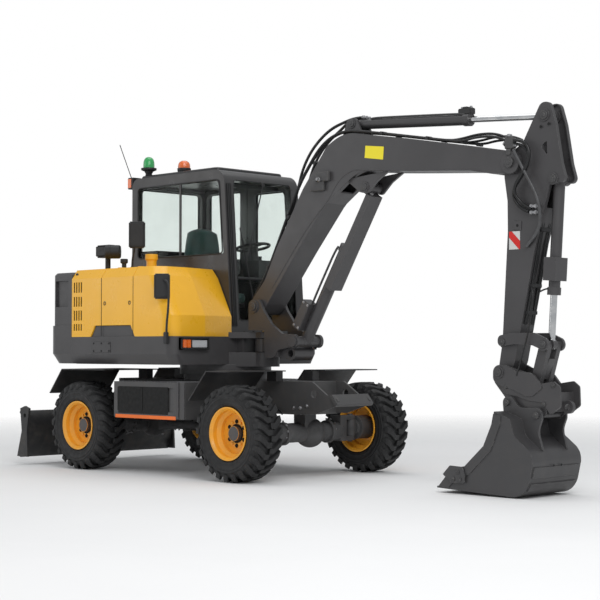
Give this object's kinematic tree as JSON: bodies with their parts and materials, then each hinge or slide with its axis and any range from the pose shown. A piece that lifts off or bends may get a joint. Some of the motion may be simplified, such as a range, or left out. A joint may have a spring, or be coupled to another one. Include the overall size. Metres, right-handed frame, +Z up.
{
  "type": "wheeled excavator",
  "caption": "Wheeled excavator with a turning house, offset cab, boom, arm and bucket on a swing post, steered front wheels and a rear dozer blade.",
  "frame": {"origin": "on the ground under the middle of the overall length and width, as stored with the boom straight ahead", "axes": "+X forward along the boom, +Y to the left (the cab's side), +Z up"},
  "size_m": [5.941, 1.9756, 3.207],
  "materials": {
    "charcoal_paint": "satin charcoal paint",
    "dark_paint": "satin near-black paint",
    "amber_paint": "semi-gloss amber paint",
    "ground_steel": "polished rod",
    "tyre": "matte",
    "glass": "tinted",
    "seat_fabric": "woven",
    "black_plastic": "moulded",
    "lamp_plastic": "lens",
    "cast": "painted casting",
    "engine_block": "painted casting",
    "worn_steel": "charcoal paint, worn bright at the edge"
  },
  "bodies": {
    "chassis": {"chassis_frame": "dark_paint", "fenders": "dark_paint", "front_axle": "cast", "rear_axle": "cast"},
    "house": {"house_frame": "charcoal_paint", "counterweight": "charcoal_paint", "hood": "amber_paint", "engine": "engine_block", "cab_frame": "charcoal_paint", "cab_glass": "glass", "cab_roof": "charcoal_paint", "operator_seat": "seat_fabric", "controls": "black_plastic", "hood_fittings": "black_plastic", "lamps": "lamp_plastic", "mirrors": "black_plastic"},
    "swing_post": {"swing_post": "charcoal_paint"},
    "boom": {"boom": "charcoal_paint"},
    "boom_cylinder": {"boom_cylinder": "charcoal_paint"},
    "boom_rod": {"boom_rod": "ground_steel"},
    "arm": {"arm": "charcoal_paint"},
    "arm_cylinder": {"arm_cylinder": "charcoal_paint"},
    "arm_rod": {"arm_rod": "ground_steel"},
    "rocker": {"rocker": "charcoal_paint"},
    "bucket_link": {"bucket_link": "charcoal_paint"},
    "bucket_cylinder": {"bucket_cylinder": "charcoal_paint"},
    "bucket_rod": {"bucket_rod": "ground_steel"},
    "bucket": {"coupler": "charcoal_paint", "bucket": "worn_steel"},
    "blade": {"blade": "dark_paint"},
    "blade_cylinder": {"blade_cylinder": "dark_paint"},
    "blade_rod": {"blade_rod": "ground_steel"},
    "knuckle_left": {"knuckle_left": "cast"},
    "knuckle_right": {"knuckle_right": "cast"},
    "wheel_front_left": {"rim_front_left": "amber_paint", "tyre_front_left": "tyre"},
    "wheel_front_right": {"rim_front_right": "amber_paint", "tyre_front_right": "tyre"},
    "wheel_rear_left": {"rim_rear_left": "amber_paint", "tyre_rear_left": "tyre"},
    "wheel_rear_right": {"rim_rear_right": "amber_paint", "tyre_rear_right": "tyre"},
    "cab_door": {"cab_door": "charcoal_paint", "door_glass": "glass"},
    "side_door": {"side_door": "amber_paint"},
    "rear_lid": {"rear_lid": "amber_paint"}
  },
  "joints": [
    {"name": "house_slew", "type": "hinge", "parent": "chassis", "child": "house", "pos_m": [-0.955, 0, 0.97], "axis": [0, 0, 1], "continuous": true},
    {"name": "post_swing", "type": "hinge", "parent": "house", "child": "swing_post", "pos_m": [-0.395, 0, 1.15], "axis": [0, 0, 1], "range_deg": [-55, 70]},
    {"name": "boom_lift", "type": "hinge", "parent": "swing_post", "child": "boom", "pos_m": [-0.395, 0, 1.522], "axis": [0, -1, 0], "range_deg": [-58, 26]},
    {"name": "boom_cylinder_pin", "type": "hinge", "parent": "swing_post", "child": "boom_cylinder", "pos_m": [0.105, 0, 1.202], "axis": [0, -1, 0], "range_deg": [-65.9, 30.06]},
    {"name": "boom_rod_slide", "type": "slide", "parent": "boom_cylinder", "child": "boom_rod", "axis": [0.5236, 0, 0.852], "range_m": [-0.5135, 0.2342]},
    {"name": "arm_lift", "type": "hinge", "parent": "boom", "child": "arm", "pos_m": [2.475, 0, 2.592], "axis": [0, -1, 0], "range_deg": [-20, 78]},
    {"name": "arm_cylinder_pin", "type": "hinge", "parent": "boom", "child": "arm_cylinder", "pos_m": [0.735, 0, 3.086], "axis": [0, -1, 0], "range_deg": [-0.64, 2.39]},
    {"name": "arm_rod_slide", "type": "slide", "parent": "arm_cylinder", "child": "arm_rod", "axis": [0.9974, 0, -0.0725], "range_m": [-0.5777, 0.1535]},
    {"name": "bucket_curl", "type": "hinge", "parent": "arm", "child": "bucket", "pos_m": [2.363, 0, 0.955], "axis": [0, 1, 0], "range_deg": [-65, 95]},
    {"name": "rocker_pin", "type": "hinge", "parent": "arm", "child": "rocker", "pos_m": [2.376, 0, 1.191], "axis": [0, 1, 0], "range_deg": [-49.37, 71.61]},
    {"name": "link_pin", "type": "hinge", "parent": "rocker", "child": "bucket_link", "pos_m": [2.764, 0, 1.171], "axis": [0, 1, 0], "range_deg": [-46.26, 31.89]},
    {"name": "bucket_cylinder_pin", "type": "hinge", "parent": "arm", "child": "bucket_cylinder", "pos_m": [2.848, 0, 2.44], "axis": [0, 1, 0], "range_deg": [-2.82, 4.09]},
    {"name": "bucket_rod_slide", "type": "slide", "parent": "bucket_cylinder", "child": "bucket_rod", "axis": [-0.066, 0, -0.9978], "range_m": [-0.2893, 0.4196]},
    {"name": "blade_lift", "type": "hinge", "parent": "chassis", "child": "blade", "pos_m": [-2.32, 0, 0.47], "axis": [0, 1, 0], "range_deg": [-15, 28]},
    {"name": "blade_cylinder_pin", "type": "hinge", "parent": "chassis", "child": "blade_cylinder", "pos_m": [-2.36, 0, 0.705], "axis": [0, 1, 0], "range_deg": [-12.66, 23.32]},
    {"name": "blade_rod_slide", "type": "slide", "parent": "blade_cylinder", "child": "blade_rod", "axis": [-0.8002, 0, -0.5997], "range_m": [-0.1096, 0.0595]},
    {"name": "steer_left", "type": "hinge", "parent": "chassis", "child": "knuckle_left", "pos_m": [0.095, 0.588, 0.4155], "axis": [0, 0, 1], "range_deg": [-30, 30]},
    {"name": "steer_right", "type": "hinge", "parent": "chassis", "child": "knuckle_right", "pos_m": [0.095, -0.588, 0.4155], "axis": [0, 0, 1], "range_deg": [-30, 30]},
    {"name": "wheel_front_left_spin", "type": "hinge", "parent": "knuckle_left", "child": "wheel_front_left", "pos_m": [0.095, 0.806, 0.4155], "axis": [0, 1, 0], "continuous": true},
    {"name": "wheel_front_right_spin", "type": "hinge", "parent": "knuckle_right", "child": "wheel_front_right", "pos_m": [0.095, -0.806, 0.4155], "axis": [0, 1, 0], "continuous": true},
    {"name": "wheel_rear_left_spin", "type": "hinge", "parent": "chassis", "child": "wheel_rear_left", "pos_m": [-2.005, 0.806, 0.4155], "axis": [0, 1, 0], "continuous": true},
    {"name": "wheel_rear_right_spin", "type": "hinge", "parent": "chassis", "child": "wheel_rear_right", "pos_m": [-2.005, -0.806, 0.4155], "axis": [0, 1, 0], "continuous": true},
    {"name": "cab_door_swing", "type": "hinge", "parent": "house", "child": "cab_door", "pos_m": [-1.6, 0.942, 2], "axis": [0, 0, 1], "range_deg": [0, 150]},
    {"name": "side_door_lift", "type": "hinge", "parent": "house", "child": "side_door", "pos_m": [-1.422, -0.766, 1.894], "axis": [-1, 0, 0], "range_deg": [0, 70]},
    {"name": "rear_lid_lift", "type": "hinge", "parent": "house", "child": "rear_lid", "pos_m": [-2.555, 0, 1.852], "axis": [0, 1, 0], "range_deg": [0, 75]}
  ],
  "couplings": [
    {"joint": "boom_cylinder_pin", "follows": "boom_lift", "ratio": 1.12},
    {"joint": "boom_rod_slide", "follows": "boom_lift", "m_per_rad": 0.5},
    {"joint": "arm_cylinder_pin", "follows": "arm_lift", "ratio": 0.0303},
    {"joint": "arm_rod_slide", "follows": "arm_lift", "m_per_rad": -0.4191},
    {"joint": "rocker_pin", "follows": "bucket_curl", "ratio": 0.7413},
    {"joint": "link_pin", "follows": "bucket_curl", "ratio": -0.4789},
    {"joint": "bucket_cylinder_pin", "follows": "bucket_curl", "ratio": 0.0423},
    {"joint": "bucket_rod_slide", "follows": "bucket_curl", "m_per_rad": 0.2489},
    {"joint": "blade_cylinder_pin", "follows": "blade_lift", "ratio": 0.8202},
    {"joint": "blade_rod_slide", "follows": "blade_lift", "m_per_rad": -0.2208},
    {"joint": "steer_right", "follows": "steer_left", "ratio": 1}
  ]
}
